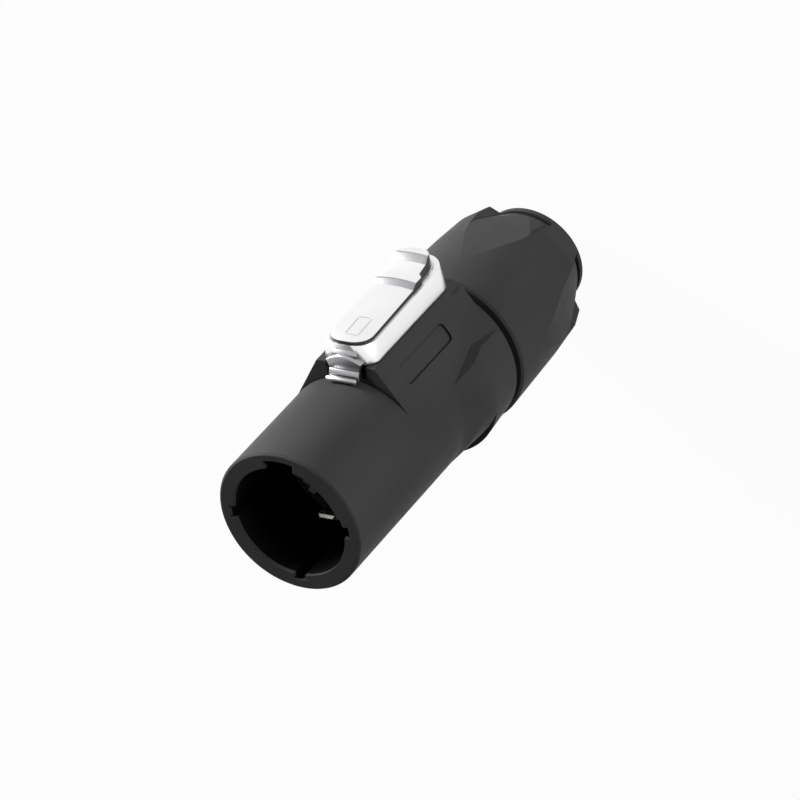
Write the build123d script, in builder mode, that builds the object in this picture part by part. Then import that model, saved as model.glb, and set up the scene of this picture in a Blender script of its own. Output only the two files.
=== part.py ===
from build123d import *
from math import cos, radians, sin
import os

os.makedirs("parts", exist_ok=True)

# The connector stands on its cable end: z runs from the tail rim to the nose, the latch faces -y.

# Lengths along the axis, from the tail to the nose
nut_length = 26.8
gap_length = 1.2
platform_length = 24.15
nose_reach = 19.85
nut_front_z = nut_length
housing_rear_z = nut_front_z + gap_length
platform_front_z = housing_rear_z + platform_length
nose_z = platform_front_z + nose_reach

# Fits
running_gap = 0.1
seat_gap = 0.05
thread_gap = 0.1

# Barrel
barrel_radius = 11.2
socket_wall = 2.4
socket_radius = barrel_radius - socket_wall
socket_depth = 15.5
rim_chamfer = 0.3
ledge_reach = 1.4
ledge_radius = socket_radius - ledge_reach
ledge_thickness = 1.0
bore_wall = 2.35
bore_radius = barrel_radius - bore_wall
ledge_front_z = nose_z - socket_depth
ledge_rear_z = ledge_front_z - ledge_thickness

# Keyways and coding rib in the socket, as angles from the latch side
keyway_depth = 1.2
keyway_radius = socket_radius + keyway_depth
keyway_half_angle = 14.0
side_groove_depth = 0.85
side_groove_radius = socket_radius + side_groove_depth
side_groove_half_angle = 6.0
keyway_length = 12.0
rib_height = 0.8
rib_radius = socket_radius - rib_height
rib_start_angle = 25.0
rib_end_angle = 78.0
rib_tab_height = 0.8
rib_tab_radius = rib_radius - rib_tab_height
rib_tab_start_angle = 34.0
rib_tab_end_angle = 42.0
rib_setback = 0.4

# Platform under the latch
platform_rise = 2.2
platform_height = barrel_radius + platform_rise
flank_angle = 57.2
flank_sin = sin(radians(flank_angle))
flank_cos = cos(radians(flank_angle))
platform_half_width = (barrel_radius - platform_height * flank_cos) / flank_sin
corner_bevel_length = 2.5
corner_bevel_width = 0.9
label_length = 12.8
label_width = 3.0
label_depth = 0.35
label_corner = 0.9
label_front_setback = 3.6
label_drop = 3.4

# Collar round the rear of the housing, with a ramp on each side of the platform
collar_front_rise = 1.3
collar_rear_rise = 0.8
collar_front_radius = barrel_radius + collar_front_rise
collar_rear_radius = barrel_radius + collar_rear_rise
collar_length = 6.7
collar_front_z = housing_rear_z + collar_length
ramp_length = 9.3
ramp_height = 1.9
ramp_sink = 0.12
ramp_angle = 62.0
ramp_front_z = collar_front_z + ramp_length
wall_front_drop = 1.9
wall_middle_drop = -0.85
wall_rear_drop = -0.4
wall_draft = 35.0
flare_length = 5.8
flare_height = 0.85

# Threaded spigot that carries the gland nut
spigot_wall = 1.35
spigot_radius = bore_radius + spigot_wall
spigot_length = 10.5
spigot_end_z = housing_rear_z - spigot_length
spigot_chamfer = 0.4

# Latch
latch_travel = 3.0
latch_base = platform_height + running_gap
latch_half_width = 4.4
latch_setback = 0.45
latch_front_z = platform_front_z - latch_setback
latch_length = 23.0
latch_rear_z = latch_front_z - latch_length
latch_draft = 13.0
latch_front_corner = 2.1
latch_rear_corner = 2.6
latch_front_thickness = 2.95
latch_rear_thickness = 3.85
latch_front_radius = latch_base + latch_front_thickness
latch_rear_radius = latch_base + latch_rear_thickness
pad_setback = 0.2
pad_front_z = latch_front_z - pad_setback
pad_half_width = 3.45
pad_front_corner = 2.7
pad_root_height = 2.25
pad_root = latch_base + pad_root_height
pad_front_rise = 1.15
pad_front_radius = pad_root + pad_front_rise
pad_length = 14.1
pad_step_z = pad_front_z - pad_length
pad_crown_rise = 0.5
pad_step_radius = pad_front_radius + pad_crown_rise
step_run = 0.85
step_rise = 0.62
step_flat = 1.55
waist_z = pad_step_z - step_run - step_flat
lobe_slope_length = 2.5
second_step_z = waist_z - lobe_slope_length
lobe_slope_rise = 0.43
second_step_radius = pad_step_radius + step_rise + lobe_slope_rise
second_step_run = 1.1
second_step_rise = 0.9
lobe_half_width = 2.85
lobe_margin = 0.6
pad_rear_z = latch_rear_z + lobe_margin
lobe_corner = 2.4
pad_groove = 0.2

# Locking tongue, a part of the latch casting
tongue_half_width = 2.4
tongue_lift = 0.25
tongue_base = barrel_radius + tongue_lift
tongue_reach = 1.85
tongue_tip_z = platform_front_z + tongue_reach
tongue_setback = 0.25
tongue_back_z = platform_front_z - tongue_setback
root_step = 0.35
slope_setback = 1.9
slope_height = 0.8
neck_setback = 1.3
neck_height = 0.9
lip_setback = 0.35
lip_thickness = 0.75
lip_edge = 0.3
lip_round = 0.15
dome_half_width = 2.95
dome_shoulder = 0.4
dome_shoulder_height = latch_base + dome_shoulder
dome_rise = 1.05
dome_foot = 1.05
dome_root = 0.5
dome_thickness = 1.15

# Slide way of the latch in the platform
way_floor = barrel_radius + 0.1
foot_thickness = 0.95
foot_half_width = 2.7
neck_half_width = 1.5
pocket_side_gap = 0.3
pocket_half_width = dome_half_width + pocket_side_gap
pocket_depth = latch_travel + tongue_setback + dome_root + running_gap
pocket_rear_z = platform_front_z - pocket_depth
foot_setback = 0.2
foot_front_z = pocket_rear_z - foot_setback
foot_length = 6.8
foot_rear_z = foot_front_z - foot_length
way_rear_z = foot_rear_z - latch_travel - running_gap

# Stop pin, pressed out from the bore
stop_pin_radius = 0.6
stop_slot_half_width = 0.7
stop_slot_length = latch_travel + 2 * stop_pin_radius + 2 * running_gap
stop_pin_setback = 1.9
stop_pin_z = foot_rear_z + stop_pin_setback

# Latch spring and its chamber
spring_wire_radius = 0.16
spring_coil_radius = 0.8
spring_turns = 9
spring_chamber_radius = 1.1
spring_lift = 0.55
spring_height = way_floor + running_gap + spring_lift
spring_length = 9.6
spring_seat_z = foot_rear_z - spring_length

# Contact insert
insert_radius = bore_radius - seat_gap
insert_length = 19.0
insert_front_z = ledge_rear_z
insert_rear_z = insert_front_z - insert_length
cover_thickness = 1.4
cover_boss_radius = 1.2
cover_boss_length = 4.0
wire_hole_radius = 1.7

# Contacts, one third of a turn apart, as angles from +x; earth lies opposite the latch
contact_angles = {"line": 210, "neutral": 330, "earth": 90}
contact_circle = 5.0
blade_width = 2.6
blade_thickness = 0.8
blade_tip_chamfer = 0.3
earth_reach = 7.9
pole_reach = 6.9
terminal_depth = 4.3
terminal_width = 4.2
terminal_length = 8.4
wire_room_depth = 3.1
wire_room_width = 2.9
wire_room_length = 7.0
terminal_top_z = insert_rear_z + terminal_length
terminal_screw_setback = 4.4
terminal_screw_z = insert_rear_z + terminal_screw_setback

# Terminal screws and clamp plates
screw_radius = 1.2
screw_head_radius = 1.7
screw_head_length = 0.9
screw_slot_width = 0.4
screw_slot_depth = 0.4
screw_inset = 0.3
screw_standoff = 0.3
plate_thickness = 0.5
plate_length = 3.4

# Gland nut
nut_step = 0.4
nut_front_radius = collar_rear_radius + nut_step
nut_middle_taper = 0.45
nut_middle_radius = nut_front_radius - nut_middle_taper
nut_middle_length = 13.8
nut_middle_z = nut_front_z - nut_middle_length
fin_taper = 0.45
fin_radius = nut_middle_radius - fin_taper
fin_end_z = 7.0
fin_end_drop = 1.1
fin_tip_radius = fin_radius - fin_end_drop
fin_tip_z = 3.0
fin_tip_height = 2.1
tail_radius = fin_tip_radius - fin_tip_height
tail_rim_setback = 0.1
tail_rim_radius = tail_radius - tail_rim_setback
tail_rim_chamfer = 0.3
tail_rim_length = 1.1
tail_groove_length = 0.8
tail_groove_depth = 0.6
tail_groove_z = tail_rim_length + tail_groove_length
entry_radius = 6.5
nut_thread_radius = spigot_radius + thread_gap
nut_chamfer = 0.35
nut_shoulder_gap = 0.7
nut_shoulder_z = spigot_end_z - nut_shoulder_gap
cone_front_radius = bore_radius - seat_gap
cone_depth = 1.75
cone_rear_radius = cone_front_radius - cone_depth
cone_rear_z = 4.6
flute_count = 4
flute_phase = 6.5
flute_setback = 3.8
flute_start_z = nut_front_z - flute_setback
flute_start_radius = nut_front_radius - nut_middle_taper * flute_setback / nut_middle_length
flute_start_half_angle = 8.8
flute_middle_half_angle = 26.5
flute_facet_z = 9.7
flute_facet_inset = 1.1
flute_facet_radius = nut_middle_radius - fin_taper / 2 - flute_facet_inset
flute_end_z = tail_groove_z
flute_end_step = 0.1
flute_end_radius = tail_radius - flute_end_step
flute_end_half_angle = 31.0
flute_heel_length = 8.9
flute_wall_lean = 40.0
flute_wall_depth = 2.8
flute_wall_reach = 4.0

# Clamping chuck and cable seal
chuck_radius = bore_radius - running_gap
chuck_bore = 6.2
chuck_front_z = insert_rear_z - cover_thickness - running_gap
chuck_tip_gap = 0.4
chuck_tip_z = cone_rear_z + chuck_tip_gap
chuck_key_height = 0.45
chuck_key_radius = bore_radius + chuck_key_height
chuck_key_width = 1.6
chuck_key_length = 8.0
chuck_key_setback = 1.5
chuck_key_z = spigot_end_z + chuck_key_setback
chuck_slots = 6
chuck_slot_width = 1.2
chuck_slot_length = 15.0
seal_bore = 4.6
seal_length = 10.0
seal_setback = 1.5
seal_tip_z = chuck_tip_z + seal_setback

# Seals
gasket_thickness = 1.2
gasket_overhang = 0.1
gasket_inner_radius = ledge_radius + gasket_overhang
gland_gasket_width = 0.9
gland_gasket_radius = spigot_radius + gland_gasket_width
gland_gasket_gap = 0.12


# Closed ring sector as a face, with angles counted from the latch side towards -x
def ring_sector(z, inner, outer, start, end):
    with BuildSketch(Plane.XY.offset(z)) as sector:
        with BuildLine():
            outside = CenterArc((0, 0), outer, -90 - end, end - start)
            inside = CenterArc((0, 0), inner, -90 - end, end - start)
            Line(outside @ 0, inside @ 0)
            Line(outside @ 1, inside @ 1)
        make_face()
    return sector.sketch


# Plane whose sketch has x across the part and y along its axis, at a height above the axis
def latch_plane(height):
    return Plane(origin=(0, -height, 0), x_dir=(1, 0, 0), z_dir=(0, -1, 0))


# Plane on the platform's flank: x along the axis, y down the flank from the line where it meets the barrel
flank_origin = (-barrel_radius * flank_sin, -barrel_radius * flank_cos, 0)
flank_plane = Plane(origin=flank_origin, x_dir=(0, 0, 1), z_dir=(-flank_sin, -flank_cos, 0))
flank_section = Plane(origin=flank_origin, x_dir=(0, 0, 1), z_dir=(flank_cos, -flank_sin, 0))
outside_reach = 6.0


# Room beside the platform that the collar and its ramps leave free
with BuildPart() as flank_relief:
    with BuildSketch(flank_section):
        with BuildLine():
            Polyline(
                (platform_front_z, 0),
                (housing_rear_z + flare_length, 0),
                (housing_rear_z - seat_gap, flare_height),
                (housing_rear_z - seat_gap, outside_reach),
                (platform_front_z, outside_reach),
                close=True,
            )
        make_face()
    extrude(amount=barrel_radius, both=True)
    with BuildSketch(flank_plane.offset(-seat_gap)):
        with BuildLine():
            Polyline(
                (platform_front_z, -barrel_radius),
                (platform_front_z, wall_front_drop),
                (ramp_front_z, wall_front_drop),
                (housing_rear_z + flare_length, wall_middle_drop),
                (housing_rear_z - seat_gap, wall_rear_drop),
                (housing_rear_z - seat_gap, -barrel_radius),
                close=True,
            )
        make_face()
    extrude(amount=outside_reach + 2 * seat_gap, taper=-wall_draft, mode=Mode.INTERSECT)

# Side ramp: a slightly thinner barrel that leans outwards, held inside a smooth swell up to the collar
ramp_lean = ramp_height / ramp_length
ramp_x = -sin(radians(ramp_angle))
ramp_y = -cos(radians(ramp_angle))
ramp_base_shift = ramp_sink + ramp_lean * (ramp_front_z - housing_rear_z)
ramp_foot = (ramp_x * ramp_base_shift, ramp_y * ramp_base_shift, housing_rear_z)
with BuildPart() as side_ramp:
    with BuildSketch(Plane(origin=ramp_foot, z_dir=(-ramp_x * ramp_lean, -ramp_y * ramp_lean, 1))):
        Circle(barrel_radius - ramp_sink)
    extrude(amount=ramp_front_z - housing_rear_z, both=True)
    with BuildSketch(Plane.XZ):
        with BuildLine():
            Line((0, housing_rear_z), (collar_rear_radius, housing_rear_z))
            Line((collar_rear_radius, housing_rear_z), (collar_front_radius, collar_front_z))
            Spline(
                (collar_front_radius, collar_front_z),
                (barrel_radius - ramp_sink, ramp_front_z),
                tangents=((collar_front_rise - collar_rear_rise, collar_length), (0, 1)),
            )
            Line((barrel_radius - ramp_sink, ramp_front_z), (0, ramp_front_z))
            Line((0, ramp_front_z), (0, housing_rear_z))
        make_face()
    revolve(axis=Axis.Z, mode=Mode.INTERSECT)
    add(flank_relief.part, mode=Mode.SUBTRACT)

with BuildPart() as collar:
    with BuildSketch(Plane.XZ):
        with BuildLine():
            Polyline(
                (0, housing_rear_z),
                (collar_rear_radius, housing_rear_z),
                (collar_front_radius, collar_front_z),
                (0, collar_front_z),
                close=True,
            )
        make_face()
    revolve(axis=Axis.Z)
    add(flank_relief.part, mode=Mode.SUBTRACT)
    add(mirror(flank_relief.part, about=Plane.YZ, mode=Mode.PRIVATE), mode=Mode.SUBTRACT)

# Housing: barrel, platform, collar and threaded spigot in one moulding
with BuildPart() as housing:
    with BuildSketch(Plane.XZ):
        with BuildLine():
            Polyline(
                (0, spigot_end_z),
                (spigot_radius - spigot_chamfer, spigot_end_z),
                (spigot_radius, spigot_end_z + spigot_chamfer),
                (spigot_radius, housing_rear_z),
                (barrel_radius, housing_rear_z),
                (barrel_radius, nose_z - rim_chamfer),
                (barrel_radius - rim_chamfer, nose_z),
                (0, nose_z),
                close=True,
            )
        make_face()
    revolve(axis=Axis.Z)
    with BuildSketch(Plane.XY.offset(housing_rear_z)):
        with BuildLine():
            Polyline(
                (-barrel_radius * flank_sin, -barrel_radius * flank_cos),
                (-platform_half_width, -platform_height),
                (platform_half_width, -platform_height),
                (barrel_radius * flank_sin, -barrel_radius * flank_cos),
                (0, 0),
                close=True,
            )
        make_face()
    extrude(amount=platform_length)
    # small bevel on the platform's rear corners
    with BuildSketch(Plane.XY.offset(housing_rear_z)):
        for side in (-1, 1):
            with BuildLine():
                Polyline(
                    (side * (platform_half_width - corner_bevel_width), -platform_height),
                    (side * platform_half_width, -platform_height - seat_gap),
                    (side * (platform_half_width + corner_bevel_width), -platform_height + corner_bevel_width),
                    (side * platform_half_width, -platform_height + corner_bevel_width),
                    close=True,
                )
            make_face()
    extrude(amount=corner_bevel_length, mode=Mode.SUBTRACT)
    add(collar.part)
    add(side_ramp.part)
    add(mirror(side_ramp.part, about=Plane.YZ, mode=Mode.PRIVATE))
    # bare label field on both flanks
    label_center_z = platform_front_z - label_front_setback - label_length / 2
    for plane in (flank_plane, Plane(
        origin=(-flank_origin[0], flank_origin[1], 0), x_dir=(0, 0, 1), z_dir=(flank_sin, -flank_cos, 0)
    )):
        side = 1 if plane is flank_plane else -1
        with BuildSketch(plane):
            with Locations((label_center_z, -side * (label_drop + label_width / 2))):
                RectangleRounded(label_length, label_width, label_corner)
        extrude(amount=-label_depth, mode=Mode.SUBTRACT)
    # socket, ledge opening and rear bore
    with BuildSketch(Plane.XY.offset(ledge_front_z)):
        Circle(socket_radius)
    extrude(amount=socket_depth, mode=Mode.SUBTRACT)
    with BuildSketch(Plane.XY.offset(ledge_rear_z)):
        Circle(ledge_radius)
    extrude(amount=ledge_thickness, mode=Mode.SUBTRACT)
    with BuildSketch(Plane.XY.offset(spigot_end_z)):
        Circle(bore_radius)
    extrude(amount=ledge_rear_z - spigot_end_z, mode=Mode.SUBTRACT)
    # keyway under the latch and three narrow grooves
    keyway = ring_sector(
        nose_z - keyway_length, ledge_radius, keyway_radius, -keyway_half_angle, keyway_half_angle
    )
    extrude(keyway, amount=keyway_length, mode=Mode.SUBTRACT)
    for angle in (90, 180, 270):
        groove = ring_sector(
            nose_z - keyway_length,
            ledge_radius,
            side_groove_radius,
            angle - side_groove_half_angle,
            angle + side_groove_half_angle,
        )
        extrude(groove, amount=keyway_length, mode=Mode.SUBTRACT)
    # coding rib with its tab
    rib_base_z = ledge_front_z + gasket_thickness + seat_gap
    rib = ring_sector(rib_base_z, rib_radius, socket_radius + seat_gap, rib_start_angle, rib_end_angle)
    extrude(rib, amount=nose_z - rib_setback - rib_base_z)
    tab = ring_sector(
        rib_base_z, rib_tab_radius, socket_radius + seat_gap, rib_tab_start_angle, rib_tab_end_angle
    )
    extrude(tab, amount=nose_z - rib_setback - rib_base_z)
    # pocket for the tongue, open to the front and the top
    with BuildSketch(latch_plane(way_floor)):
        with Locations((0, (platform_front_z + pocket_rear_z) / 2 + seat_gap)):
            Rectangle(2 * pocket_half_width, pocket_depth + 2 * seat_gap)
    extrude(amount=platform_height, mode=Mode.SUBTRACT)
    # undercut slide way
    with BuildSketch(latch_plane(way_floor)):
        with Locations((0, (pocket_rear_z + way_rear_z) / 2)):
            Rectangle(2 * (foot_half_width + running_gap), pocket_rear_z - way_rear_z)
    extrude(amount=foot_thickness + 2 * running_gap, mode=Mode.SUBTRACT)
    with BuildSketch(latch_plane(way_floor)):
        with Locations((0, (pocket_rear_z + way_rear_z) / 2)):
            Rectangle(2 * (neck_half_width + running_gap), pocket_rear_z - way_rear_z)
    extrude(amount=platform_height, mode=Mode.SUBTRACT)
    # spring chamber behind the slide way
    with BuildSketch(Plane.XY.offset(spring_seat_z)):
        with Locations((0, -spring_height)):
            Circle(spring_chamber_radius)
    extrude(amount=foot_rear_z - spring_seat_z, mode=Mode.SUBTRACT)
    # hole of the stop pin
    with BuildSketch(latch_plane(bore_radius - stop_pin_radius)):
        with Locations((0, stop_pin_z)):
            Circle(stop_pin_radius)
    extrude(amount=way_floor - bore_radius + stop_pin_radius + seat_gap, mode=Mode.SUBTRACT)
    # slot for the chuck's key
    with BuildSketch(Plane.XY.offset(spigot_end_z)):
        with Locations((0, bore_radius)):
            Rectangle(chuck_key_width + 2 * running_gap, 2 * (chuck_key_radius + running_gap - bore_radius))
    extrude(amount=chuck_key_z + chuck_key_length + seat_gap - spigot_end_z, mode=Mode.SUBTRACT)
housing.part.label = "housing"
export_step(housing.part, "parts/housing.step")

# Thumb pad of the latch: a long lobe, a step, a narrower lobe and a second step
with BuildSketch(latch_plane(pad_root)) as pad_outline:
    with Locations((0, (pad_front_z + waist_z) / 2)):
        Rectangle(2 * pad_half_width, pad_front_z - waist_z)
    fillet(pad_outline.vertices().group_by(Axis.Y)[-1], radius=pad_front_corner)
    with Locations((0, (waist_z + pad_rear_z) / 2 + seat_gap)):
        Rectangle(2 * lobe_half_width, waist_z - pad_rear_z + 2 * seat_gap)
    fillet(pad_outline.vertices().group_by(Axis.Y)[0], radius=lobe_corner)
with BuildPart() as thumb_pad:
    add(pad_outline.sketch)
    extrude(amount=platform_height, dir=(0, -1, 0))
    with BuildSketch(Plane.XZ):
        with BuildLine():
            Polyline(
                (0, pad_front_z + pad_groove),
                (pad_front_radius, pad_front_z + pad_groove),
                (pad_step_radius, pad_step_z),
                (pad_step_radius + step_rise, pad_step_z - step_run),
                (pad_step_radius + step_rise, waist_z),
                (second_step_radius, second_step_z),
                (second_step_radius + second_step_rise, second_step_z - second_step_run),
                (second_step_radius + second_step_rise / 2, pad_rear_z),
                (0, pad_rear_z - pad_groove),
                close=True,
            )
        make_face()
    revolve(axis=Axis.Z, mode=Mode.INTERSECT)

# Latch: drafted plate with its pad, the tongue in front and the foot that runs in the housing
with BuildPart() as latch_slider:
    with BuildSketch(latch_plane(latch_base)) as plate_outline:
        with Locations((0, (latch_front_z + latch_rear_z) / 2)):
            Rectangle(2 * latch_half_width, latch_length)
        fillet(plate_outline.vertices().group_by(Axis.Y)[-1], radius=latch_front_corner)
        fillet(plate_outline.vertices().group_by(Axis.Y)[0], radius=latch_rear_corner)
    extrude(amount=latch_rear_radius - latch_base, taper=latch_draft)
    with BuildSketch(Plane.XZ):
        with BuildLine():
            Polyline(
                (0, latch_rear_z),
                (latch_rear_radius, latch_rear_z),
                (latch_front_radius, latch_front_z),
                (0, latch_front_z),
                close=True,
            )
        make_face()
    revolve(axis=Axis.Z, mode=Mode.INTERSECT)
    with BuildSketch(latch_plane(pad_root)):
        add(pad_outline.sketch_local)
        offset(amount=pad_groove)
    extrude(amount=platform_height, mode=Mode.SUBTRACT)
    add(thumb_pad.part)
    # tongue, seen from the side
    with BuildSketch(Plane.YZ):
        with BuildLine():
            Polyline(
                (-pad_root, tongue_back_z - dome_root),
                (-pad_root, tongue_back_z + root_step),
                (-latch_base - slope_height, tongue_tip_z - slope_setback),
                (-latch_base + neck_height, tongue_tip_z - neck_setback),
                (-tongue_base - lip_thickness, tongue_tip_z - lip_setback),
                (-tongue_base - lip_edge, tongue_tip_z),
                (-tongue_base, tongue_tip_z - lip_round),
                (-tongue_base, tongue_back_z),
                (-latch_base, tongue_back_z),
                (-latch_base, tongue_back_z - dome_root),
                close=True,
            )
        make_face()
    extrude(amount=tongue_half_width, both=True)
    # wider dome of the tongue, seen along the axis
    with BuildSketch(Plane.XY.offset(tongue_back_z - dome_root)):
        with BuildLine():
            ThreePointArc(
                (-dome_half_width, -dome_shoulder_height),
                (0, -dome_shoulder_height - dome_rise),
                (dome_half_width, -dome_shoulder_height),
            )
            Polyline(
                (dome_half_width, -dome_shoulder_height),
                (tongue_half_width, -tongue_base - dome_foot),
                (-tongue_half_width, -tongue_base - dome_foot),
                (-dome_half_width, -dome_shoulder_height),
            )
        make_face()
    extrude(amount=dome_thickness)
    # neck and foot
    with BuildSketch(latch_plane(way_floor + running_gap)):
        with Locations((0, (foot_front_z + foot_rear_z) / 2)):
            Rectangle(2 * foot_half_width, foot_length)
    extrude(amount=foot_thickness)
    with BuildSketch(latch_plane(way_floor + running_gap)):
        with Locations((0, (foot_front_z + foot_rear_z) / 2)):
            Rectangle(2 * neck_half_width, foot_length)
    extrude(amount=latch_base - way_floor)
    with BuildSketch(latch_plane(way_floor)):
        with Locations((0, stop_pin_z - stop_pin_radius - running_gap + stop_slot_length / 2)):
            Rectangle(2 * stop_slot_half_width, stop_slot_length)
    extrude(amount=foot_thickness + 4 * running_gap, mode=Mode.SUBTRACT)
latch_slider.part.label = "latch_slider"
export_step(latch_slider.part, "parts/latch_slider.step")

# Stop pin of the latch
with BuildPart() as latch_stop_pin:
    with BuildSketch(latch_plane(bore_radius + seat_gap)):
        with Locations((0, stop_pin_z)):
            Circle(stop_pin_radius)
    extrude(amount=way_floor - bore_radius + foot_thickness)
latch_stop_pin.part.label = "latch_stop_pin"
export_step(latch_stop_pin.part, "parts/latch_stop_pin.step")

# Coil spring that keeps the latch forward
spring_run = spring_length - 2 * spring_wire_radius - 2 * seat_gap
with BuildPart() as latch_spring:
    with BuildLine() as coil:
        Helix(
            pitch=spring_run / spring_turns,
            height=spring_run,
            radius=spring_coil_radius,
            center=(0, -spring_height, spring_seat_z + spring_wire_radius + seat_gap),
        )
    with BuildSketch(Plane(coil.line @ 0, z_dir=coil.line % 0)):
        Circle(spring_wire_radius)
    sweep(path=coil.line)
latch_spring.part.label = "latch_spring"
export_step(latch_spring.part, "parts/latch_spring.step")


# Plane across the axis whose x points outwards at an angle
def turned(angle, z):
    return Plane(origin=(0, 0, z), x_dir=(cos(radians(angle)), sin(radians(angle)), 0), z_dir=(0, 0, 1))


# Plane square to a radius, at a distance from the axis
def facing(angle, distance, z):
    outward = (cos(radians(angle)), sin(radians(angle)), 0)
    return Plane(origin=(distance * outward[0], distance * outward[1], z), z_dir=outward)


# Contact carrier
with BuildPart() as contact_insert:
    with BuildSketch(Plane.XY.offset(insert_rear_z)):
        Circle(insert_radius)
        Circle(cover_boss_radius + seat_gap, mode=Mode.SUBTRACT)
    extrude(amount=insert_length)
    for angle in contact_angles.values():
        with BuildSketch(turned(angle, insert_rear_z)):
            with Locations((contact_circle, 0)):
                Rectangle(terminal_depth + 2 * seat_gap, terminal_width + 2 * seat_gap)
        extrude(amount=terminal_length + seat_gap, mode=Mode.SUBTRACT)
        with BuildSketch(turned(angle, insert_rear_z)):
            with Locations((contact_circle, 0)):
                Rectangle(blade_thickness + 2 * seat_gap, blade_width + 2 * seat_gap)
        extrude(amount=insert_length, mode=Mode.SUBTRACT)
        with BuildSketch(facing(angle, contact_circle, terminal_screw_z)):
            Circle(screw_head_radius + running_gap)
        extrude(amount=insert_radius, mode=Mode.SUBTRACT)
contact_insert.part.label = "contact_insert"
export_step(contact_insert.part, "parts/contact_insert.step")

# Cover that closes the terminal rooms and guides the wires
with BuildPart() as insert_cover:
    with BuildSketch(Plane.XY.offset(insert_rear_z - cover_thickness)):
        Circle(insert_radius)
        for angle in contact_angles.values():
            with Locations((contact_circle * cos(radians(angle)), contact_circle * sin(radians(angle)))):
                Circle(wire_hole_radius, mode=Mode.SUBTRACT)
    extrude(amount=cover_thickness)
    with BuildSketch(Plane.XY.offset(insert_rear_z)):
        Circle(cover_boss_radius)
    extrude(amount=cover_boss_length)
insert_cover.part.label = "insert_cover"
export_step(insert_cover.part, "parts/insert_cover.step")

# Three contacts, each a blade on a boxed screw terminal, with its screw and clamp plate
room_outside = contact_circle + wire_room_depth / 2
screw_tip = room_outside - screw_inset
screw_head_base = contact_circle + terminal_depth / 2 + screw_standoff
for pole, angle in contact_angles.items():
    reach = earth_reach if pole == "earth" else pole_reach
    with BuildPart() as contact:
        with BuildSketch(turned(angle, insert_rear_z)):
            with Locations((contact_circle, 0)):
                Rectangle(terminal_depth, terminal_width)
        extrude(amount=terminal_length)
        with BuildSketch(turned(angle, insert_rear_z)):
            with Locations((contact_circle, 0)):
                Rectangle(wire_room_depth, wire_room_width)
        extrude(amount=wire_room_length, mode=Mode.SUBTRACT)
        with BuildSketch(turned(angle, terminal_top_z)):
            with Locations((contact_circle, 0)):
                Rectangle(blade_thickness, blade_width)
        extrude(amount=insert_front_z + reach - terminal_top_z)
        chamfer(contact.faces().sort_by(Axis.Z)[-1].edges(), length=blade_tip_chamfer)
        with BuildSketch(facing(angle, contact_circle, terminal_screw_z)):
            Circle(screw_radius)
        extrude(amount=terminal_depth, mode=Mode.SUBTRACT)
    contact.part.label = "contact_" + pole
    export_step(contact.part, "parts/contact_" + pole + ".step")

    with BuildPart() as screw:
        with BuildSketch(facing(angle, screw_tip, terminal_screw_z)):
            Circle(screw_radius)
        extrude(amount=screw_head_base - screw_tip)
        with BuildSketch(facing(angle, screw_head_base, terminal_screw_z)):
            Circle(screw_head_radius)
        extrude(amount=screw_head_length)
        with BuildSketch(facing(angle, screw_head_base + screw_head_length, terminal_screw_z)):
            Rectangle(screw_slot_width, 3 * screw_head_radius)
        extrude(amount=-screw_slot_depth, mode=Mode.SUBTRACT)
    screw.part.label = "terminal_screw_" + pole
    export_step(screw.part, "parts/terminal_screw_" + pole + ".step")

    with BuildPart() as plate:
        with BuildSketch(turned(angle, terminal_screw_z - plate_length / 2)):
            with Locations((screw_tip - plate_thickness / 2, 0)):
                Rectangle(plate_thickness, wire_room_width - 2 * seat_gap)
        extrude(amount=plate_length)
    plate.part.label = "clamp_plate_" + pole
    export_step(plate.part, "parts/clamp_plate_" + pole + ".step")

# Rubber ring on the ledge, which the mating part presses on
with BuildPart() as socket_gasket:
    with BuildSketch(Plane.XY.offset(ledge_front_z)):
        Circle(socket_radius - seat_gap)
        Circle(gasket_inner_radius, mode=Mode.SUBTRACT)
    extrude(amount=gasket_thickness)
socket_gasket.part.label = "socket_gasket"
export_step(socket_gasket.part, "parts/socket_gasket.step")

# Sealing ring between the housing and the gland nut
with BuildPart() as gland_gasket:
    with BuildSketch(Plane.XY.offset(nut_front_z + gland_gasket_gap)):
        Circle(gland_gasket_radius)
        Circle(spigot_radius, mode=Mode.SUBTRACT)
    extrude(amount=gap_length - gland_gasket_gap)
gland_gasket.part.label = "gland_gasket"
export_step(gland_gasket.part, "parts/gland_gasket.step")

# Cone inside the nut, which squeezes the chuck
cone_slope = (cone_front_radius - cone_rear_radius) / (nut_shoulder_z - cone_rear_z)


def cone_radius(z):
    return cone_rear_radius + cone_slope * (z - cone_rear_z)


# Section of a flute's walls at a height: each wall passes through its ridge and leans outwards
def flute_section(z, ridge_radius, half_angle):
    ridge_x = ridge_radius * cos(radians(half_angle))
    ridge_y = ridge_radius * sin(radians(half_angle))
    lean_x = cos(radians(flute_wall_lean))
    lean_y = sin(radians(flute_wall_lean))
    foot = (ridge_x - flute_wall_depth * lean_x, ridge_y - flute_wall_depth * lean_y)
    brow = (ridge_x + flute_wall_reach * lean_x, ridge_y + flute_wall_reach * lean_y)
    with BuildSketch(Plane.XY.offset(z)) as section:
        with BuildLine():
            Polyline((foot[0], -foot[1]), (brow[0], -brow[1]), brow, foot, close=True)
        make_face()
    return section.sketch


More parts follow.
